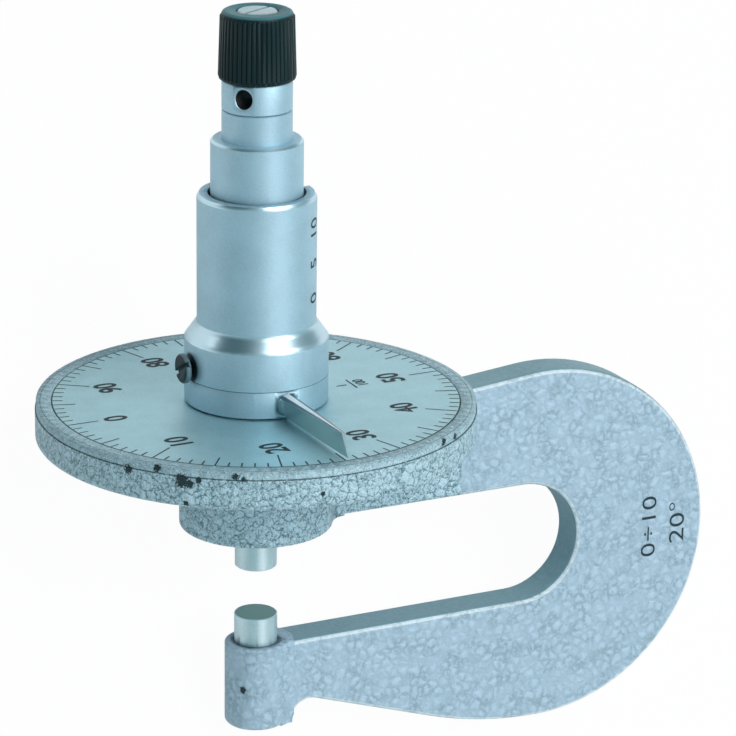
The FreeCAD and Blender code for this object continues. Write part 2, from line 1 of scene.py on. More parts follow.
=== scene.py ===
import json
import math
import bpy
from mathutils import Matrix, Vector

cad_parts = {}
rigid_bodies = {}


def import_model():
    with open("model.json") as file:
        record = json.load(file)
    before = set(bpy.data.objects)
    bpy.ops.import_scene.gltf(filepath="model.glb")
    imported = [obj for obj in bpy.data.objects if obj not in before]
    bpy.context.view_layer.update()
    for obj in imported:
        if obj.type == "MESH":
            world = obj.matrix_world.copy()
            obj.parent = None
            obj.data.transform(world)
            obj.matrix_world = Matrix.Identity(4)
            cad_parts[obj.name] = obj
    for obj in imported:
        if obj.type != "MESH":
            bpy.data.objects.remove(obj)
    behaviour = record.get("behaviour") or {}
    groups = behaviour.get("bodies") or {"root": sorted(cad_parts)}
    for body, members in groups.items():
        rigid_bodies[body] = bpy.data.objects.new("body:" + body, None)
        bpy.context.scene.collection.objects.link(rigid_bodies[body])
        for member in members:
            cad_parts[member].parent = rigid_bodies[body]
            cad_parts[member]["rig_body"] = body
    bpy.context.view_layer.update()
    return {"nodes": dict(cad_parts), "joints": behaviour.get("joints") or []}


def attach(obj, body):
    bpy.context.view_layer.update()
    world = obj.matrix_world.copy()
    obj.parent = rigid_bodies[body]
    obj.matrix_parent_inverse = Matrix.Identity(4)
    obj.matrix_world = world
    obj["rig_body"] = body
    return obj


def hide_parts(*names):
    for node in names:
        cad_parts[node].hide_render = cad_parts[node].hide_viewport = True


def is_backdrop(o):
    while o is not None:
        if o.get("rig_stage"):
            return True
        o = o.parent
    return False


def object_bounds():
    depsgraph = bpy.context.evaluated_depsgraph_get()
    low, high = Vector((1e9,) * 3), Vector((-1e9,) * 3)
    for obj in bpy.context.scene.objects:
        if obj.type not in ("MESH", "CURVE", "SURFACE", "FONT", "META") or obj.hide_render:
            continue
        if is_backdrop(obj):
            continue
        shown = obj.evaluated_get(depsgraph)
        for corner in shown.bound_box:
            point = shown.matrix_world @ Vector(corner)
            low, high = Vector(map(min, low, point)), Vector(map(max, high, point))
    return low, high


bl_info = {
    "name": "Disc Micrometer",
    "version": (1, 0, 0),
    "blender": (4, 5, 0),
    "location": "View3D > Sidebar > Micrometer",
    "description": "Paint, satin chrome, engraved marks and ribbed knob for the disc micrometer",
    "category": "Object",
}

import bmesh
import bpy
from bpy.props import FloatProperty, FloatVectorProperty, IntProperty, PointerProperty
from mathutils import Matrix, Vector

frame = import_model()

MM = 0.001
PHOTO_SIDE = 736
SENSOR = 36.0

# The spindle's axis, taken from the joint that turns the barrel, leans back from upright
TURN = next(joint for joint in frame["joints"] if joint["name"] == "barrel_turn")
SPINDLE_AXIS = Vector(TURN["axis"])
LEAN = math.atan2(-SPINDLE_AXIS.y, SPINDLE_AXIS.z)
LAID = Matrix.Rotation(LEAN, 4, "X")

# Sizes and places on the tool, in millimetres from the anvil's face and the spindle's axis, and in degrees
DIAL_Z = 32.3
DIAL_R = 28.65
DISH_R = 31.0
BAND_WIDTH = 1.1
BAND_CORNER_R = 30.2
HUB_Z = 13.7
PLATE_HALF = 3.0
BOSS_R = 4.45
ANVIL_RING_R = 3.95
GAP_AT_REST = 7.25
BARREL_R = 8.35
BARREL_FOOT_Z = 36.36
MOUTH_R = 6.8
SLOT_ANGLE = 7.2
KEY_FACE = 8.1
KEY_Z = 55.11
NECK_R = 4.9
WRENCH_ANGLE = 222
WRENCH_Z = 76.46
WRENCH_HALF = 1.4
WRENCH_DEPTH = 2.4
CLAMP_Z = 38.15
CLAMP_HEAD_R = 2.1
POINTER_Z = 34.425
RIDGE_ROOT_Y = -11.6
RIDGE_ROOT_HALF = 1.05
RIDGE_SLOPE = 0.0517
TIP_Y = -29.5
TIP_Z = 32.93
TIP_SLOPE = 0.635
KNOB_TOP_Z = 87.96

# How the meshes are made: marks stand off by LIFT, and faces are smooth up to these angles in degrees
LIFT = 0.02
MERGE_DISTANCE = 0.002
SHORTEST_EDGE = 0.001
FLOOR_GAP = 0.1
FLOOR_HALF = 3000.0
SMOOTH_ANGLE = 35.0
KNOB_SMOOTH_ANGLE = 28
POINTER_SMOOTH_ANGLE = 25

# The letters: height of a capital and merging distance in a font of size 1
CAP_HEIGHT = 0.69
LETTER_MERGE = 0.004

# Marks on the dial: a weight is how far the outline of a letter is pushed out, as a share of its size
LINE_INSET = 0.15
DIAL_WEIGHT = 0.026
FRACTION_HEIGHT = 1.5
FRACTION_ONE = (13.28, -0.25)
FRACTION_HUNDRED = (16.3, -0.1)
FRACTION_BAR_START = (14.83, -2.0)
FRACTION_BAR_LENGTH = 3.8
FRACTION_BAR_WIDTH = 0.25

# Marks on the barrel and the key
SCALE_ZERO_Z = 47.85
SCALE_LENGTH = 10
SCALE_NUMBER_STEP = 5
SCALE_START_ANGLE = -1.3
SCALE_LINE = 1.7
SCALE_LONG_LINE = 2.6
SCALE_LINE_WIDTH = 0.16
SCALE_LINE_STEPS = 10
NUMBER_ANGLE = 317.5
BARREL_WEIGHT = 0.004
BARREL_SQUEEZE = 0.93
BARREL_SLICES = 9
INDEX_LENGTH = 1.7
INDEX_WIDTH = 0.2

# Words stamped on the side of the bow: text, height, length, and the x and z of the middle
BOW_WORDS = (("0\u00f710", 2.4, 9.5, 63.1, 4.05), ("20\u00b0", 2.5, 6.4, 67.95, 4.1))
BOW_WEIGHT = -0.004

# Polished bands on the satin pieces: lowest and highest z and least radius
BRIGHT_BANDS = {
    "barrel": ((41.62, 44.04, 8.4), (61.74, 62.3, 7.9)),
    "pointer_ring": ((32.5, 32.64, 9.9),),
    "thimble": ((69.68, 70.0, 6.1),),
}

# Chips in the enamel of the rim: angle round the dish in degrees, height and size in millimetres
RIM_CHIPS = (
    (-133.5, 30.6, 0.95),
    (-131.6, 30.3, 0.6),
    (-148.5, 31.0, 0.6),
    (-140.2, 31.9, 0.6),
    (-129.3, 30.9, 0.42),
    (-120.0, 31.7, 0.5),
    (-118.0, 31.4, 0.35),
    (-58.8, 31.9, 0.55),
    (-52.9, 31.7, 0.5),
    (-98.2, 28.9, 0.35),
    (-132.4, 27.4, 0.4),
)

# Nicks on the lower arm's edge and the boss: place and size
NICKS = (
    ((12.14, -3.0, -3.98), 0.35),
    ((18.07, -3.0, -2.51), 0.4),
    ((-3.33, -2.95, -10.42), 0.5),
)

# Colours of single places and of the pieces with no setting, as sRGB numbers from 0 to 255
CHIP_COLOUR = (26, 52, 58)
# Painted shade in the rim's seam and corner; the same colour darkens the ring round the anvil's foot
SEAM_COLOUR = (36, 66, 72)
# Painted highlight: the pale line along the bow's front edges and the pale glints on the dish
PAINTED_HIGHLIGHT = (232, 244, 250)
POLISHED = (208, 234, 246)
# Painted shade of the gap round the dial
DIAL_GAP_SHADE = (30, 56, 64)
# Painted shade in the barrel's mouth
MOUTH_SHADE = (18, 36, 42)
# Painted shade in the seam at the barrel's foot
FOOT_SEAM_SHADE = (64, 96, 108)
# Painted shadow of the clamp screw's head
SCREW_SHADOW = (20, 46, 52)
# Painted shade in the wrench hole
HOLE_SHADE = (14, 24, 28)
LAPPED_FACE = (114, 156, 154)
POINTER_STEEL = (168, 198, 200)
# Painted shade and highlight on the pointer's back, and painted shade on its tip
RIDGE_SHADE = (58, 98, 124)
RIDGE_HIGHLIGHT = (248, 252, 255)
TIP_SHADE = (112, 144, 150)
BLUED_STEEL = (26, 44, 50)
# Painted highlight on the side of the clamp screw's head
SCREW_SIDE_HIGHLIGHT = (92, 120, 130)
SCREW_STEEL = (205, 226, 232)
TURNED_STEEL = (176, 184, 188)
SPRING_WIRE = (120, 122, 126)
BRASS = (200, 168, 96)
# Painted sheen on the knob's top face
KNOB_TOP_SHEEN = (88, 143, 152)
FILL_DARK = (14, 34, 40)
FILL_WORN = (40, 66, 74)

# The studio as the tool sees it: a dark screen on the left, and a high and a low window on the right
DARK_SIDE = (-0.742, -0.191, 0.643)
BRIGHT_SIDE = (0.254, -0.685, 0.682)
LOW_WINDOW = (0.22, -0.922, -0.317)


class Signal:
    """A value that varies over a surface; arithmetic on it adds Math nodes."""

    def __init__(self, finish, socket):
        self.finish = finish
        self.socket = socket

    def _math(self, operation, *values):
        return self.finish.node("Math", {"operation": operation}, dict(enumerate(values)))

    def __add__(self, other):
        return self._math("ADD", self, other)

    __radd__ = __add__

    def __mul__(self, other):
        return self._math("MULTIPLY", self, other)

    __rmul__ = __mul__

    def __sub__(self, other):
        return self._math("SUBTRACT", self, other)

    def __rsub__(self, other):
        return self._math("SUBTRACT", other, self)

    def __pow__(self, other):
        return self._math("POWER", self, other)

    def above(self, limit):
        return self._math("GREATER_THAN", self, limit)

    def below(self, limit):
        return self._math("LESS_THAN", self, limit)

    def ramp(self, low, high):
        """0 below low, 1 above high, smooth between."""
        settings = {"interpolation_type": "SMOOTHSTEP"}
        return self.finish.node("MapRange", settings, {"Value": self, "From Min": low, "From Max": high})


class Finish:
    """One material: a Principled surface and the nodes that vary it."""

    def __init__(self, name, **constants):
        self.material = bpy.data.materials.new(name)
        self.material.use_nodes = True
        self.tree = self.material.node_tree
        self.shader = self.tree.nodes["Principled BSDF"]
        for socket, value in constants.items():
            self.shader.inputs[socket.replace("_", " ")].default_value = value

    def node(self, kind, settings=None, inputs=None, output=0):
        made = self.tree.nodes.new("ShaderNode" + kind)
        for name, value in (settings or {}).items():
            setattr(made, name, value)
        for name, value in (inputs or {}).items():
            if isinstance(value, Signal):
                self.tree.links.new(value.socket, made.inputs[name])
            else:
                made.inputs[name].default_value = value
        return Signal(self, made.outputs[output])

    def feed(self, socket, signal):
        self.tree.links.new(signal.socket, self.shader.inputs[socket])

    def place(self):
        """Position on the tool in millimetres, +Z along the spindle."""
        coordinates = self.node("TexCoord", output="Object")
        turn = {"Vector": coordinates, "Rotation": (-LEAN, 0, 0), "Scale": (1 / MM, 1 / MM, 1 / MM)}
        return self.node("Mapping", {"vector_type": "POINT"}, turn)

    def axes(self, place):
        split = self.tree.nodes.new("ShaderNodeSeparateXYZ")
        self.tree.links.new(place.socket, split.inputs[0])
        return [Signal(self, split.outputs[i]) for i in range(3)]

    def radius(self, x, y):
        return (x * x + y * y) ** 0.5

    def distance(self, place, point):
        """Distance from a point given as three numbers."""
        return self.node("VectorMath", {"operation": "DISTANCE"}, {0: place, 1: point}, "Value")

    def bent(self, place, scale, amount):
        """The place pushed about by noise, so that what is laid on it wanders."""
        drift = self.node("TexNoise", {}, {"Vector": place, "Scale": scale, "Detail": 2.0}, "Color")
        settings = {"operation": "MULTIPLY_ADD"}
        return self.node("VectorMath", settings, {0: drift, 1: (amount, amount, amount), 2: place})

    def clamped(self, signal):
        return self.node("Clamp", {}, {"Value": signal})

    def noise(self, place, scale, detail=2.0, roughness=0.5):
        inputs = {"Vector": place, "Scale": scale, "Detail": detail, "Roughness": roughness}
        return self.node("TexNoise", {}, inputs)

    def cell_edges(self, place, scale):
        """Distance to the nearest border between cells, 0 on the border."""
        return self.node("TexVoronoi", {"feature": "DISTANCE_TO_EDGE"}, {"Vector": place, "Scale": scale})

    def stretch(self, place, scale):
        return self.node("Mapping", {"vector_type": "POINT"}, {"Vector": place, "Scale": scale})

    def blend(self, factor, first, second):
        """Colour between first and second."""
        node = self.tree.nodes.new("ShaderNodeMix")
        node.data_type = "RGBA"
        for name, value in (("Factor", factor), ("A", first), ("B", second)):
            kind = "NodeSocketFloatFactor" if name == "Factor" else "NodeSocketColor"
            socket = next(s for s in node.inputs if s.name == name and s.bl_idname == kind)
            if isinstance(value, Signal):
                self.tree.links.new(value.socket, socket)
            else:
                socket.default_value = value
        output = next(s for s in node.outputs if s.bl_idname == "NodeSocketColor")
        return Signal(self, output)

    def bump(self, height, strength, distance):
        """Relief from a height between 0 and 1, this many millimetres deep."""
        return self.node("Bump", {}, {"Height": height, "Strength": strength, "Distance": distance * MM})


def round_axis(radius, degrees, z):
    """Point at this distance from the spindle's axis."""
    angle = math.radians(degrees)
    return Vector((radius * math.cos(angle), radius * math.sin(angle), z))


def shade(colour):
    """Linear RGBA from an sRGB colour given as three numbers from 0 to 255."""
    channels = [c / 255 for c in colour]
    linear = [c / 12.92 if c <= 0.04045 else ((c + 0.055) / 1.055) ** 2.4 for c in channels]
    return (*linear, 1.0)


def new_piece(name, mesh, body, material, replaced=()):
    """Puts a finished mesh in the scene and fastens it to its body."""
    piece = bpy.data.objects.new(name, mesh)
    bpy.context.scene.collection.objects.link(piece)
    mesh.materials.clear()
    mesh.materials.append(material)
    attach(piece, body)
    if replaced:
        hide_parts(*replaced)
    return piece


def marks_mesh(bm, name, outward):
    """Lays flat marks down with the tool and makes them a mesh, faces towards outward(centre)."""
    bm.normal_update()
    for face in bm.faces:
        if face.normal.dot(outward(face.calc_center_median())) < 0:
            face.normal_flip()
    bmesh.ops.transform(bm, matrix=LAID @ Matrix.Scale(MM, 4), verts=bm.verts)
    mesh = bpy.data.meshes.new(name)
    bm.to_mesh(mesh)
    bm.free()
    return mesh


def dressed_copy(node, name, material, smooth_angle=SMOOTH_ANGLE):
    """A merged copy of a CAD node, shaded smooth up to this angle in degrees, that takes its place."""
    source = frame["nodes"][node]
    bm = bmesh.new()
    bm.from_mesh(source.data)
    bmesh.ops.remove_doubles(bm, verts=bm.verts, dist=MERGE_DISTANCE * MM)
    bmesh.ops.dissolve_degenerate(bm, edges=bm.edges, dist=SHORTEST_EDGE * MM)
    mesh = bpy.data.meshes.new(name)
    bm.to_mesh(mesh)
    bm.free()
    mesh.shade_smooth()
    mesh.set_sharp_from_angle(angle=math.radians(smooth_angle))
    piece = new_piece(name, mesh, source["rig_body"], material, [node])
    even = piece.modifiers.new("even_shading", "WEIGHTED_NORMAL")
    even.mode = "FACE_AREA"
    even.weight = 100
    even.keep_sharp = True
    return piece


def lettering(text, height, weight, placed, squeeze=0.85, length=None, slices=0):
    """Letters as a flat bmesh; placed turns a point (along, up) in millimetres into a place on the tool.

    With a length the word is drawn out to it; slices cut the letters across, so that they can be bent.
    """
    curve = bpy.data.curves.new("lettering", "FONT")
    curve.body = text
    curve.size = 1.0
    curve.align_x = "CENTER"
    curve.align_y = "CENTER"
    curve.resolution_u = 6
    writer = bpy.data.objects.new("lettering", curve)
    bpy.context.scene.collection.objects.link(writer)
    bpy.context.view_layer.update()
    mesh = bpy.data.meshes.new_from_object(writer)
    bm = bmesh.new()
    bm.from_mesh(mesh)
    bpy.data.objects.remove(writer)
    bpy.data.curves.remove(curve)
    bpy.data.meshes.remove(mesh)
    bmesh.ops.remove_doubles(bm, verts=bm.verts, dist=LETTER_MERGE)
    thicken(bm, weight)
    if length:
        ends = [vert.co.x for vert in bm.verts]
        squeeze = length / (max(ends) - min(ends)) * CAP_HEIGHT / height
    for index in range(slices):
        cut = Vector((0, CAP_HEIGHT * ((index + 0.5) / slices - 0.5), 0))
        everything = bm.verts[:] + bm.edges[:] + bm.faces[:]
        bmesh.ops.bisect_plane(bm, geom=everything, plane_co=cut, plane_no=(0, 1, 0))
    for vert in bm.verts:
        along = vert.co.x * height / CAP_HEIGHT * squeeze
        rise = vert.co.y * height / CAP_HEIGHT
        vert.co = placed(along, rise)
    return bm


def thicken(bm, weight):
    """Pushes the outline of flat letters outwards by this weight, or draws it in if it is negative."""
    outline = {}
    for edge in bm.edges:
        if len(edge.link_faces) != 1:
            continue
        along = (edge.verts[1].co - edge.verts[0].co).normalized()
        away = Vector((-along.y, along.x, 0))
        inner = edge.link_faces[0].calc_center_median() - edge.verts[0].co
        if away.dot(inner) > 0:
            away.negate()
        for vert in edge.verts:
            outline.setdefault(vert, []).append(away)
    for vert, sides in outline.items():
        if len(sides) == 2:
            vert.co += (sides[0] + sides[1]) * weight / max(1 + sides[0].dot(sides[1]), 0.5)


def upwards(centre):
    """Writing up the side of the bow: along runs up the tool, the letters' tops point to its front."""
    return lambda along, rise: centre + Vector((-rise, 0, along))


def merge_in(bm, other):
    """Adds the geometry of another bmesh and frees it."""
    mesh = bpy.data.meshes.new("part")
    other.to_mesh(mesh)
    other.free()
    bm.from_mesh(mesh)
    bpy.data.meshes.remove(mesh)


def bar(bm, placed, along, across, start=0.0, steps=1):
    """A thin filled line of this length and width, laid down by placed(along, across)."""
    lower = []
    upper = []
    for index in range(steps + 1):
        reach = start + along * index / steps
        lower.append(bm.verts.new(placed(reach, -across / 2)))
        upper.append(bm.verts.new(placed(reach, across / 2)))
    for index in range(steps):
        bm.faces.new((lower[index], lower[index + 1], upper[index + 1], upper[index]))


# Finishes


def hammered_paint(colours):
    """Hammered enamel: soft and pale on the bow, dark lines and specks with painted pale glints on the dish,
    smooth on the edges with painted shade, and a painted highlight along the bow's front edges.
    """
    finish = Finish("hammered_paint", Metallic=0.1)
    place = finish.place()
    x, y, z = finish.axes(place)
    out = finish.radius(x, y)
    dish = out.below(DISH_R + 0.4) * z.above(HUB_Z - 0.5)
    flat = 1 - dish
    inner = y.above(-PLATE_HALF + 0.35) * y.below(PLATE_HALF - 0.35)
    edge = inner * flat * out.above(BOSS_R + 1.0)
    band = dish * z.above(DIAL_Z - BAND_WIDTH)
    bent = finish.bent(finish.bent(place, 1.1, 0.9), 3.0, 0.28)
    bow_cells = finish.cell_edges(bent, 0.72)
    rim_cells = finish.cell_edges(finish.bent(bent, 2.4, 0.35), 0.78)
    domes = bow_cells.ramp(0.0, 0.5) * flat + rim_cells.ramp(0.0, 0.45) * dish
    grain = finish.noise(place, 2.6, 4.0, 0.65)
    patches = finish.noise(place, 0.3, 2.0, 0.5).ramp(0.4, 0.62)
    broken = finish.noise(place, 1.7, 3.0, 0.6).ramp(0.36, 0.52)
    flecks = grain.ramp(0.58, 0.68)
    fine = finish.noise(place, 4.6, 2.0, 0.6)
    dark_specks = fine.ramp(0.56, 0.64) * dish * 0.5
    # Painted glints: pale specks on the dish
    painted_glints = (1 - fine).ramp(0.56, 0.66) * dish * 0.55
    # Painted shade in the rim's seam and along its corner
    seam_shade = finish.clamped(rim_rings(dish, out, z)) * (0.55 + 0.45 * broken)
    # A darker ring round the anvil's foot on the boss
    anvil_foot_ring = (1 - out.ramp(ANVIL_RING_R - 0.75, ANVIL_RING_R)) * z.below(0.0) * (0.75 + 0.25 * flecks)
    bow_lines = (1 - bow_cells.ramp(0.0, 0.3)) * (0.1 + 0.32 * patches) * flat
    fine_lines = 0.6 - finish.cell_edges(bent, 1.35).ramp(0.02, 0.16) * 0.6
    rim_lines = ((1 - rim_cells.ramp(0.0, 0.11)) * (0.5 + 0.6 * patches) + fine_lines * (1 - patches)) * dish
    lines = (bow_lines + rim_lines) * broken * (1 - 0.7 * band) * (1 - 0.6 * edge)
    dark = finish.clamped(lines + flecks * (0.2 * patches + 0.5 * dish))
    pale = finish.blend(dish, shade(colours.paint_light), shade(colours.dish_paint))
    mottle = finish.noise(place, 0.9, 3.0, 0.6).ramp(0.25, 0.8) * 0.14 + (1 - domes) * 0.14
    tone = finish.blend(mottle, pale, shade(colours.paint_dark))
    # Painted highlight along the rounded front edges of the bow
    edge_highlight = y.above(-PLATE_HALF + 0.04) * y.below(-PLATE_HALF + 0.35) * flat * out.above(BOSS_R + 1.0)
    tone = finish.blend(edge_highlight * 0.75, tone, shade(PAINTED_HIGHLIGHT))
    # Painted shade on the bow's edge faces, and a little on the rim's band
    tone = finish.blend(edge * 0.76 + band * 0.22, tone, shade(colours.paint_edge))
    tone = finish.blend(painted_glints, tone, shade(PAINTED_HIGHLIGHT))
    body = finish.blend(finish.clamped(dark * 0.85 + dark_specks), tone, shade(colours.paint_dark))
    body = finish.blend(finish.clamped(seam_shade + anvil_foot_ring), body, shade(SEAM_COLOUR))
    bare = chips(finish, place)
    finish.feed("Base Color", finish.blend(bare, body, shade(CHIP_COLOUR)))
    finish.feed("Roughness", 0.36 + 0.2 * grain + 0.15 * bare)
    height = domes * 0.5 * (1 - 0.8 * edge) * (1 - 0.7 * band) + grain * 0.45 - bare * 0.8
    finish.feed("Normal", finish.bump(height, 0.95, 0.24))
    return finish.material


def rim_rings(dish, out, z):
    """Painted shade in the seam under the band of the rim, and along the corner over it."""
    foot = DIAL_Z - BAND_WIDTH
    seam = dish * z.above(foot - 0.08) * z.below(foot + 0.06)
    corner = out.above(BAND_CORNER_R) * out.below(BAND_CORNER_R + 0.14) * z.above(DIAL_Z - 0.4)
    return seam * 0.8 + corner * 0.6 * dish


def chips(finish, place):
    """1 where the enamel is knocked off, ragged at its edge."""
    ragged = finish.noise(place, 4.2, 3.0, 0.7)
    spots = [(round_axis(DISH_R, angle, z), size) for angle, z, size in RIM_CHIPS]
    bare = 0.0
    for point, size in spots + list(NICKS):
        reach = finish.distance(place, point)
        bare = (size * (2.6 * ragged - 0.3) - reach).above(0.0) + bare
    return finish.clamped(bare)


def satin_metal(name, colour, roughness, metal=0.6, turned=0.0, bright_bands=(), touches=()):
    """Matt chrome or satin steel: an even tint, a fine grain, faint turning lines and polished bands.

    A band is (lowest z, highest z, least radius). A touch is (mask, colour): a place coloured and matt,
    where the mask makes a signal from the finish and its axes.
    """
    finish = Finish(name)
    place = finish.place()
    x, y, z = finish.axes(place)
    radius = finish.radius(x, y)
    grain = finish.noise(place, 4.2, 3.0, 0.7)
    cloud = finish.noise(place, 0.25, 3.0, 0.5).ramp(0.3, 0.7)
    tint = shade(colour)
    darker = tuple(c * 0.78 for c in tint[:3]) + (1.0,)
    body = finish.blend(cloud * 0.3 + grain.ramp(0.25, 0.75) * 0.5, tint, darker)
    bright = 0.0
    for low, high, least in bright_bands:
        bright = z.above(low) * z.below(high) * radius.above(least) + bright
    if bright_bands:
        bright = finish.clamped(bright)
        body = finish.blend(bright, body, shade(POLISHED))
    shine = metal + 0.08 * grain + 0.3 * bright
    for mask, touch in touches:
        covered = mask(finish, x, y, z)
        body = finish.blend(covered, body, shade(touch))
        shine = shine * (1 - 0.85 * covered)
    finish.feed("Base Color", body)
    finish.feed("Metallic", shine)
    finish.feed("Roughness", (roughness + 0.12 * grain) * (1 - 0.4 * bright))
    lines = finish.noise(finish.stretch(place, (0.15, 0.15, 14.0)), 1.0, 2.0, 0.5)
    relief = (grain + lines * turned) * (1 - 0.8 * bright)
    finish.feed("Normal", finish.bump(relief, 0.25, 0.05))
    return finish.material


def wrench_hole(finish, x, y, z):
    """Painted shade at the bottom of the hole in the upper neck."""
    centre = round_axis(NECK_R, WRENCH_ANGLE, WRENCH_Z)
    across = finish.radius(x - centre.x, y - centre.y)
    rise = z - centre.z
    near = across.below(WRENCH_DEPTH) * rise.below(WRENCH_HALF) * rise.above(-WRENCH_HALF)
    return near * finish.radius(x, y).below(NECK_R - 0.2)


def barrel_mouth(finish, x, y, z):
    """Painted shade in the gap round the thimble."""
    return finish.radius(x, y).below(MOUTH_R + 0.05)


def dial_edge(finish, x, y, z):
    """Painted shade of the thin gap between the dial and the dish, on the dial's edge."""
    return finish.radius(x, y).above(DIAL_R - 0.13)


def screw_side(finish, x, y, z):
    """Painted highlight on the side of the clamp screw's head."""
    return finish.radius(y, z - CLAMP_Z).ramp(CLAMP_HEAD_R - 0.25, CLAMP_HEAD_R - 0.05)


def screw_seat(finish, x, y, z):
    """Painted shadow of the clamp screw's head, a dark disc round the screw on the barrel."""
    return x.below(0.0) * (1 - finish.radius(y, z - CLAMP_Z).ramp(1.75, 2.35))


def barrel_foot(finish, x, y, z):
    """Painted shade in the seam between the barrel and the pointer ring."""
    return z.below(BARREL_FOOT_Z + 0.07)


def measuring_face(finish, x, y, z):
    """The lapped faces of the anvil, at height 0, and of the spindle."""
    across = (z - GAP_AT_REST / 2).above(0.0) * GAP_AT_REST
    return (z - across).above(-0.03) * (z - across).below(0.03)


def pointer_ridge(finish, x, y, z):
    """Painted shade on the round back of the pointer, which narrows towards its tip."""
    half = (y - RIDGE_ROOT_Y) * RIDGE_SLOPE + RIDGE_ROOT_HALF
    return (x + half).ramp(0.0, 0.1) * (half - x).ramp(0.0, 0.06) * z.above(POINTER_Z)


def ridge_shine(finish, x, y, z):
    """Painted highlight along the pointer's back."""
    half = (y - RIDGE_ROOT_Y) * RIDGE_SLOPE + RIDGE_ROOT_HALF
    return (x + half * 0.6).ramp(0.0, 0.14) * (half * 0.35 - x).ramp(0.0, 0.1) * z.above(POINTER_Z)


def pointer_tip(finish, x, y, z):
    """Painted shade on the slanting end of the pointer."""
    return (y - (z - TIP_Z) * TIP_SLOPE).below(TIP_Y + 0.05)


def moulded_plastic(name, colour, roughness):
    """Dull black plastic, with a painted grey sheen on its top face."""
    finish = Finish(name, Specular_IOR_Level=0.22)
    place = finish.place()
    # Painted sheen: the top face is painted lighter
    top = finish.axes(place)[2].ramp(KNOB_TOP_Z - 0.45, KNOB_TOP_Z - 0.1)
    grain = finish.noise(place, 6.0, 4.0, 0.6)
    base = shade(colour)
    worn = tuple(min(1.0, c * 2.0 + 0.002) for c in base[:3]) + (1.0,)
    body = finish.blend(grain.ramp(0.5, 0.8) * 0.5, base, worn)
    finish.feed("Base Color", finish.blend(top * 0.75 + grain * 0.1, body, shade(KNOB_TOP_SHEEN)))
    finish.feed("Roughness", roughness + 0.2 * grain)
    finish.feed("Normal", finish.bump(grain, 0.2, 0.05))
    return finish.material


def black_fill(name):
    """Dull black paint in the engraved lines, worn paler in places."""
    finish = Finish(name, Roughness=0.6)
    place = finish.place()
    grain = finish.noise(place, 8.0, 3.0, 0.6)
    finish.feed("Base Color", finish.blend(grain * 0.6, shade(FILL_DARK), shade(FILL_WORN)))
    return finish.material


# User settings


class MicrometerColours(bpy.types.PropertyGroup):
    """Colours of the tool, as sRGB numbers from 0 to 255."""

    paint_light: FloatVectorProperty(
        name="Paint, bow",
        description="Enamel on the broad faces of the bow",
        default=(191, 215, 234),
        min=0,
        max=255,
    )
    dish_paint: FloatVectorProperty(
        name="Paint, dish",
        description="Enamel between the lines on the dish",
        default=(196, 227, 240),
        min=0,
        max=255,
    )
    # Painted shade: the bow's edge faces and the rim's band are painted darker than the broad faces
    paint_edge: FloatVectorProperty(
        name="Paint, edges",
        description="Smooth enamel on the bow's edges",
        default=(112, 158, 168),
        min=0,
        max=255,
    )
    paint_dark: FloatVectorProperty(
        name="Paint, sunk",
        description="Thin lines and flecks in the enamel",
        default=(70, 108, 120),
        min=0,
        max=255,
    )
    chrome: FloatVectorProperty(
        name="Satin chrome",
        description="Barrel, thimble and necks",
        default=(188, 220, 235),
        min=0,
        max=255,
    )
    ring: FloatVectorProperty(
        name="Pointer ring",
        description="Satin chrome of the ring that carries the pointer",
        default=(174, 209, 225),
        min=0,
        max=255,
    )
    dial: FloatVectorProperty(
        name="Dial",
        description="Satin face of the dial",
        default=(194, 231, 240),
        min=0,
        max=255,
    )
    steel: FloatVectorProperty(
        name="Ground steel",
        description="Spindle, anvil and key",
        default=(216, 238, 244),
        min=0,
        max=255,
    )
    knob: FloatVectorProperty(
        name="Knob",
        description="Black plastic of the ratchet knob",
        default=(0, 23, 26),
        min=0,
        max=255,
    )


class MicrometerMarks(bpy.types.PropertyGroup):
    """Sizes of the engraved lines and numbers."""

    divisions: IntProperty(name="Divisions", description="Lines round the dial", default=100, min=10)
    short_line: FloatProperty(name="Short line", description="Length of a single division, mm", default=1.4)
    middle_line: FloatProperty(name="Middle line", description="Length of every fifth line, mm", default=3.1)
    long_line: FloatProperty(name="Long line", description="Length of every tenth line, mm", default=4.5)
    line_width: FloatProperty(name="Line width", description="Width of a dial line, mm", default=0.22)
    number_radius: FloatProperty(
        name="Number radius", description="Middle of the dial's numbers, mm", default=21.2,
    )
    number_height: FloatProperty(
        name="Number height", description="Height of the dial's numbers, mm", default=3.2,
    )
    barrel_number_height: FloatProperty(
        name="Barrel number height", description="Height of the barrel's numbers, mm", default=2.4,
    )


# Operators, one for each piece or group of like pieces


class MICROMETER_OT_frame(bpy.types.Operator):
    """Paint the cast bow, arms, dish and hub"""

    bl_idname = "micrometer.frame"
    bl_label = "Bow and dish"

    def execute(self, context):
        colours = context.scene.micrometer_colours
        dressed_copy("frame", "cast_bow", hammered_paint(colours))
        bm = bmesh.new()
        for text, height, length, x, z in BOW_WORDS:
            centre = Vector((x, -PLATE_HALF - LIFT, z))
            merge_in(bm, lettering(text, height, BOW_WEIGHT, upwards(centre), length=length))
        mesh = marks_mesh(bm, "bow_marks", lambda centre: Vector((0, -1, 0)))
        new_piece("bow_marks", mesh, "frame_body", black_fill("stamped_fill"))
        return {"FINISHED"}


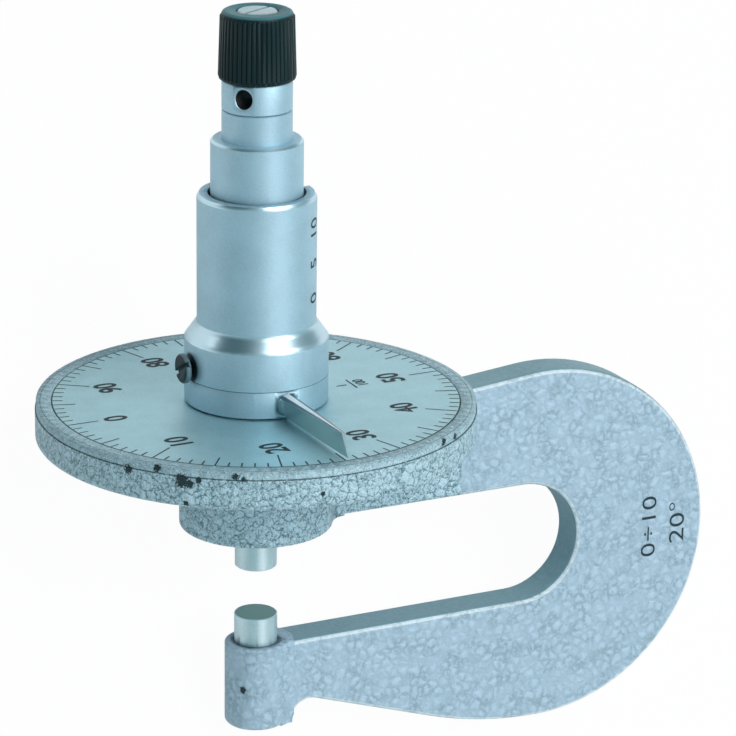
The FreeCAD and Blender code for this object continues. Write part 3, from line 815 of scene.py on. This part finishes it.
class MICROMETER_OT_dial(bpy.types.Operator):
    """Finish the dial plate and cut its lines and numbers"""

    bl_idname = "micrometer.dial"
    bl_label = "Dial"

    def execute(self, context):
        colours = context.scene.micrometer_colours
        marks = context.scene.micrometer_marks
        # The dial's edge gets painted shade for the gap round it
        satin = satin_metal("dial_satin", colours.dial, 0.42, 0.75, touches=[(dial_edge, DIAL_GAP_SHADE)])
        dressed_copy("dial_plate", "dial_face", satin)
        bm = bmesh.new()
        for index in range(marks.divisions):
            angle = math.pi + 2 * math.pi * index / marks.divisions
            length = marks.short_line
            if index % 10 == 0:
                length = marks.long_line
            elif index % 5 == 0:
                length = marks.middle_line
            bar(bm, self.on_dial(angle), length, marks.line_width)
            if index % 10 == 0:
                self.number(bm, marks, str(index), angle)
        self.fraction(bm)
        mesh = marks_mesh(bm, "dial_marks", lambda centre: Vector((0, 0, 1)))
        new_piece("dial_marks", mesh, "frame_body", black_fill("dial_fill"))
        return {"FINISHED"}

    def on_dial(self, angle):
        """Place on the dial: along runs inwards from the edge, across runs round it."""
        outer = DIAL_R - LINE_INSET
        inwards = Vector((-math.cos(angle), -math.sin(angle), 0))
        side = Vector((-math.sin(angle), math.cos(angle), 0))
        start = -outer * inwards + Vector((0, 0, DIAL_Z + LIFT))
        return lambda along, across: start + along * inwards + across * side

    def number(self, bm, marks, text, angle):
        """All numbers stand upright for a reader on the +X side."""
        centre = marks.number_radius * Vector((math.cos(angle), math.sin(angle), 0))
        self.text(bm, text, marks.number_height, centre)

    def text(self, bm, text, height, centre):
        lifted = Vector((centre[0], centre[1], DIAL_Z + LIFT))

        def placed(along, rise):
            return lifted + Vector((-rise, along, 0))

        merge_in(bm, lettering(text, height, DIAL_WEIGHT, placed))

    def fraction(self, bm):
        """The value of a division, one over a hundred, between the ring and the 50."""
        self.text(bm, "1", FRACTION_HEIGHT, FRACTION_ONE)
        self.text(bm, "100", FRACTION_HEIGHT, FRACTION_HUNDRED)
        start = Vector((*FRACTION_BAR_START, DIAL_Z + LIFT))

        def placed(along, across):
            return start + Vector((across, along, 0))

        bar(bm, placed, FRACTION_BAR_LENGTH, FRACTION_BAR_WIDTH)


class MICROMETER_OT_barrel(bpy.types.Operator):
    """Finish the turning barrel and cut its millimetre scale"""

    bl_idname = "micrometer.barrel"
    bl_label = "Barrel"

    def execute(self, context):
        colours = context.scene.micrometer_colours
        marks = context.scene.micrometer_marks
        # Painted shade in the mouth, the foot seam and the wrench hole, and the painted shadow of the clamp
        # screw
        dark = {
            "barrel": [(barrel_mouth, MOUTH_SHADE), (barrel_foot, FOOT_SEAM_SHADE), (screw_seat, SCREW_SHADOW)],
            "ratchet_body": [(wrench_hole, HOLE_SHADE)],
        }
        for node in ("barrel", "pointer_ring", "thimble", "thimble_nut", "ratchet_body"):
            colour = colours.ring if node == "pointer_ring" else colours.chrome
            chrome = satin_metal(
                "satin_chrome_" + node, colour, 0.46, 0.64, 0.5,
                BRIGHT_BANDS.get(node, ()), dark.get(node, ()),
            )
            dressed_copy(node, node + "_dressed", chrome)
        bm = bmesh.new()
        start = math.radians(SCALE_START_ANGLE)
        for index in range(SCALE_LENGTH + 1):
            length = SCALE_LONG_LINE if index % SCALE_NUMBER_STEP == 0 else SCALE_LINE
            place = self.on_barrel(start, SCALE_ZERO_Z + index)
            bar(bm, place, length, SCALE_LINE_WIDTH, steps=SCALE_LINE_STEPS)
        for value in range(0, SCALE_LENGTH + 1, SCALE_NUMBER_STEP):
            place = self.upright(math.radians(NUMBER_ANGLE), SCALE_ZERO_Z + value)
            height = marks.barrel_number_height
            merge_in(bm, lettering(
                str(value), height, BARREL_WEIGHT, place, BARREL_SQUEEZE, slices=BARREL_SLICES,
            ))
        mesh = marks_mesh(bm, "barrel_marks", lambda centre: Vector((centre.x, centre.y, 0)))
        new_piece("barrel_marks", mesh, "barrel_body", black_fill("scale_fill"))
        return {"FINISHED"}

    def on_barrel(self, start, z):
        """Lines run from the slot's edge back round the barrel."""
        radius = BARREL_R + LIFT

        def placed(along, across):
            angle = start - along / radius
            return Vector((radius * math.cos(angle), radius * math.sin(angle), z + across))

        return placed

    def upright(self, middle, z):
        """Numbers read up the barrel."""
        laid = self.on_barrel(middle, z)
        return lambda along, rise: laid(rise, along)


class MICROMETER_OT_steel(bpy.types.Operator):
    """Finish the spindle, anvil, pointer and small screws, and cut the key's index line"""

    bl_idname = "micrometer.steel"
    bl_label = "Steel parts"

    def execute(self, context):
        colours = context.scene.micrometer_colours
        steel = satin_metal(
            "ground_steel", colours.steel, 0.34, 0.66, 0.6, touches=[(measuring_face, LAPPED_FACE)],
        )
        for node in ("spindle", "anvil", "index_key"):
            dressed_copy(node, node + "_dressed", steel)
        self.index_line()
        pointer_steel = satin_metal(
            "pointer_steel", POINTER_STEEL, 0.18, 0.85,
            # Painted shade and highlight on the pointer's back and tip
            touches=[(pointer_ridge, RIDGE_SHADE), (ridge_shine, RIDGE_HIGHLIGHT), (pointer_tip, TIP_SHADE)],
        )
        dressed_copy("pointer", "pointer_dressed", pointer_steel, smooth_angle=POINTER_SMOOTH_ANGLE)
        dark = satin_metal("blued_steel", BLUED_STEEL, 0.35, touches=[(screw_side, SCREW_SIDE_HIGHLIGHT)])
        dressed_copy("clamp_screw", "clamp_screw_dressed", dark)
        bright = satin_metal("screw_steel", SCREW_STEEL, 0.34, 0.4)
        dressed_copy("ratchet_screw", "ratchet_screw_dressed", bright)
        return {"FINISHED"}

    def index_line(self):
        """Line across the key's face, read against the barrel's scale."""
        outwards = round_axis(1.0, SLOT_ANGLE, 0.0)
        side = Vector((-outwards.y, outwards.x, 0))
        middle = outwards * (KEY_FACE + LIFT) + Vector((0, 0, KEY_Z))

        def placed(along, across):
            return middle + side * along + Vector((0, 0, across))

        bm = bmesh.new()
        bar(bm, placed, INDEX_LENGTH, INDEX_WIDTH, start=-INDEX_LENGTH / 2)
        mesh = marks_mesh(bm, "index_line", lambda centre: outwards)
        new_piece("index_line", mesh, "spindle_body", black_fill("index_fill"))


class MICROMETER_OT_inside(bpy.types.Operator):
    """Finish the pieces inside: stem, nuts, washers, spring, pawl and wheel"""

    bl_idname = "micrometer.inside"
    bl_label = "Inner parts"

    def execute(self, context):
        steel = satin_metal("turned_steel", TURNED_STEEL, 0.35, 0.85, 0.6)
        spring = satin_metal("spring_wire", SPRING_WIRE, 0.3, 0.85)
        brass = satin_metal("turned_brass", BRASS, 0.32, 0.85, 0.6)
        inner = {
            "stem": steel, "ratchet_pawl": steel, "ratchet_wheel": steel,
            "wave_washer": spring, "ratchet_spring": spring,
            "retaining_nut": brass, "adjusting_nut": brass, "knob_washer": brass,
        }
        for node, material in inner.items():
            mesh = frame["nodes"][node].data
            mesh.materials.clear()
            mesh.materials.append(material)
        return {"FINISHED"}


class MICROMETER_OT_knob(bpy.types.Operator):
    """Finish the ribbed plastic knob of the ratchet"""

    bl_idname = "micrometer.knob"
    bl_label = "Ratchet knob"

    def execute(self, context):
        colours = context.scene.micrometer_colours
        black = moulded_plastic("black_plastic", colours.knob, 0.35)
        dressed_copy("ratchet_knob", "ratchet_knob_dressed", black, smooth_angle=KNOB_SMOOTH_ANGLE)
        return {"FINISHED"}


class MICROMETER_OT_stage(bpy.types.Operator):
    """Build the pale floor, the soft studio lamps and the camera"""

    bl_idname = "micrometer.stage"
    bl_label = "Studio"

    def execute(self, context):
        scene = context.scene
        lowest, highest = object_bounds()
        middle = (lowest + highest) / 2
        bm = bmesh.new()
        bmesh.ops.create_grid(bm, x_segments=1, y_segments=1, size=FLOOR_HALF * MM)
        bmesh.ops.translate(bm, vec=(middle.x, middle.y, lowest.z - FLOOR_GAP * MM), verts=bm.verts)
        mesh = bpy.data.meshes.new("floor")
        bm.to_mesh(mesh)
        bm.free()
        floor = bpy.data.objects.new("floor", mesh)
        scene.collection.objects.link(floor)
        mesh.materials.append(self.floor_paper())
        floor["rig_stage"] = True
        self.sky(scene)
        self.lamps(scene, middle)
        self.camera(scene)
        scene.view_settings.view_transform = "Standard"
        return {"FINISHED"}

    def floor_paper(self):
        """White to the camera and darker in reflections, with the tool's shadow kept faintly."""
        finish = Finish("floor_paper", Roughness=0.9, Base_Color=(0.85, 0.85, 0.85, 1))
        tree = finish.tree
        glow = tree.nodes.new("ShaderNodeEmission")
        glow.inputs["Strength"].default_value = 1.0
        mix = tree.nodes.new("ShaderNodeMixShader")
        rays = tree.nodes.new("ShaderNodeLightPath")
        seen = Signal(finish, rays.outputs["Is Camera Ray"])
        glossy = Signal(finish, rays.outputs["Is Glossy Ray"])
        factor = seen * 0.97 + glossy * 0.28
        tree.links.new(factor.socket, mix.inputs["Fac"])
        tree.links.new(finish.shader.outputs[0], mix.inputs[1])
        tree.links.new(glow.outputs[0], mix.inputs[2])
        tree.links.new(mix.outputs[0], tree.nodes["Material Output"].inputs["Surface"])
        return finish.material

    def sky(self, scene):
        """White to the camera; its light is stronger from below the tool, as over a white table."""
        world = bpy.data.worlds.new("studio")
        scene.world = world
        world.use_nodes = True
        tree = world.node_tree
        tree.nodes.clear()
        out = tree.nodes.new("ShaderNodeOutputWorld")
        tint = (0.66, 0.95, 1.0, 1)

        def background(colour, strength):
            node = tree.nodes.new("ShaderNodeBackground")
            node.inputs["Color"].default_value = colour
            node.inputs["Strength"].default_value = strength
            return node.outputs[0]

        def toward(axis, low, high, most):
            """Grows to most where the direction turns to this axis."""
            dot = tree.nodes.new("ShaderNodeVectorMath")
            dot.operation = "DOT_PRODUCT"
            dot.inputs[1].default_value = LAID.to_3x3() @ Vector(axis).normalized()
            tree.links.new(way.outputs["Generated"], dot.inputs[0])
            reach = tree.nodes.new("ShaderNodeMapRange")
            reach.interpolation_type = "SMOOTHSTEP"
            reach.inputs["From Min"].default_value = low
            reach.inputs["From Max"].default_value = high
            reach.inputs["To Max"].default_value = most
            tree.links.new(dot.outputs["Value"], reach.inputs["Value"])
            return reach.outputs[0]

        def over(under, factor, top):
            mix = tree.nodes.new("ShaderNodeMixShader")
            tree.links.new(factor, mix.inputs["Fac"])
            tree.links.new(under, mix.inputs[1])
            tree.links.new(top, mix.inputs[2])
            return mix.outputs[0]

        way = tree.nodes.new("ShaderNodeTexCoord")
        light = background(tint, 0.5)
        light = over(light, toward((0, 0, 1), -0.1, 0.45, 1.0), background(tint, 0.28))
        light = over(light, toward(DARK_SIDE, 0.72, 0.97, 0.97), background((0.4, 0.9, 1.0, 1), 0.1))
        light = over(light, toward(BRIGHT_SIDE, 0.925, 0.985, 1.0), background((1, 1, 1, 1), 2.2))
        light = over(light, toward(LOW_WINDOW, 0.93, 0.985, 1.0), background((1.0, 0.92, 0.94, 1), 1.5))
        rays = tree.nodes.new("ShaderNodeLightPath")
        light = over(light, rays.outputs["Is Camera Ray"], background((1, 1, 1, 1), 1.0))
        tree.links.new(light, out.inputs["Surface"])

    def lamps(self, scene, middle):
        """Large soft boxes, placed in the measuring frame about the tool."""
        self.lamp(scene, "key", (230, -640, 330), (420, 560), 3.1, middle)
        self.lamp(scene, "back", (-520, 320, 360), (300, 300), 0.6, middle)

    def lamp(self, scene, name, place, sides, power, middle):
        data = bpy.data.lights.new(name, "AREA")
        data.shape = "RECTANGLE"
        data.size = sides[0] * MM
        data.size_y = sides[1] * MM
        data.energy = power
        lamp = bpy.data.objects.new(name, data)
        scene.collection.objects.link(lamp)
        lamp.location = LAID @ (Vector(place) * MM)
        lamp.rotation_mode = "QUATERNION"
        lamp.rotation_quaternion = (middle - lamp.location).to_track_quat("-Z", "Y")

    def camera(self, scene):
        """The photograph's view, given in the measuring frame."""
        target = Vector((13.961, -6.997, 36.882))
        azimuth = math.radians(-26.618)
        elevation = math.radians(18.4745)
        roll = math.radians(0.709)
        distance = 551.66
        focal_pixels = 3942.7
        back = Vector((
            math.sin(azimuth) * math.cos(elevation),
            -math.cos(azimuth) * math.cos(elevation),
            math.sin(elevation),
        ))
        right = Vector((math.cos(azimuth), math.sin(azimuth), 0))
        up = back.cross(right)
        turned_right = right * math.cos(roll) + up * math.sin(roll)
        turned_up = up * math.cos(roll) - right * math.sin(roll)
        pose = Matrix((turned_right, turned_up, back)).transposed().to_4x4()
        pose.translation = (target + back * distance) * MM
        data = bpy.data.cameras.new("camera")
        data.sensor_width = SENSOR
        data.lens = focal_pixels * SENSOR / PHOTO_SIDE
        data.clip_start = 0.01
        data.clip_end = 20.0
        camera = bpy.data.objects.new("camera", data)
        scene.collection.objects.link(camera)
        camera.matrix_world = LAID @ pose
        scene.camera = camera


class MICROMETER_PT_panel(bpy.types.Panel):
    """Lists the steps in the order in which they are made"""

    bl_label = "Disc micrometer"
    bl_idname = "MICROMETER_PT_panel"
    bl_space_type = "VIEW_3D"
    bl_region_type = "UI"
    bl_category = "Micrometer"

    def draw(self, context):
        for step in STEPS:
            self.layout.operator(step.bl_idname)
        for settings in (context.scene.micrometer_colours, context.scene.micrometer_marks):
            for name in settings.__annotations__:
                self.layout.prop(settings, name)


STEPS = (
    MICROMETER_OT_frame,
    MICROMETER_OT_dial,
    MICROMETER_OT_barrel,
    MICROMETER_OT_steel,
    MICROMETER_OT_inside,
    MICROMETER_OT_knob,
    MICROMETER_OT_stage,
)
SETTINGS = {"micrometer_colours": MicrometerColours, "micrometer_marks": MicrometerMarks}


def register():
    for group in SETTINGS.values():
        bpy.utils.register_class(group)
    for step in STEPS:
        bpy.utils.register_class(step)
    bpy.utils.register_class(MICROMETER_PT_panel)
    for name, group in SETTINGS.items():
        setattr(bpy.types.Scene, name, PointerProperty(type=group))


def unregister():
    for name in SETTINGS:
        delattr(bpy.types.Scene, name)
    bpy.utils.unregister_class(MICROMETER_PT_panel)
    for step in reversed(STEPS):
        bpy.utils.unregister_class(step)
    for group in SETTINGS.values():
        bpy.utils.unregister_class(group)


def main():
    register()
    for step in STEPS:
        family, name = step.bl_idname.split(".")
        getattr(getattr(bpy.ops, family), name)()


if __name__ == "__main__":
    main()
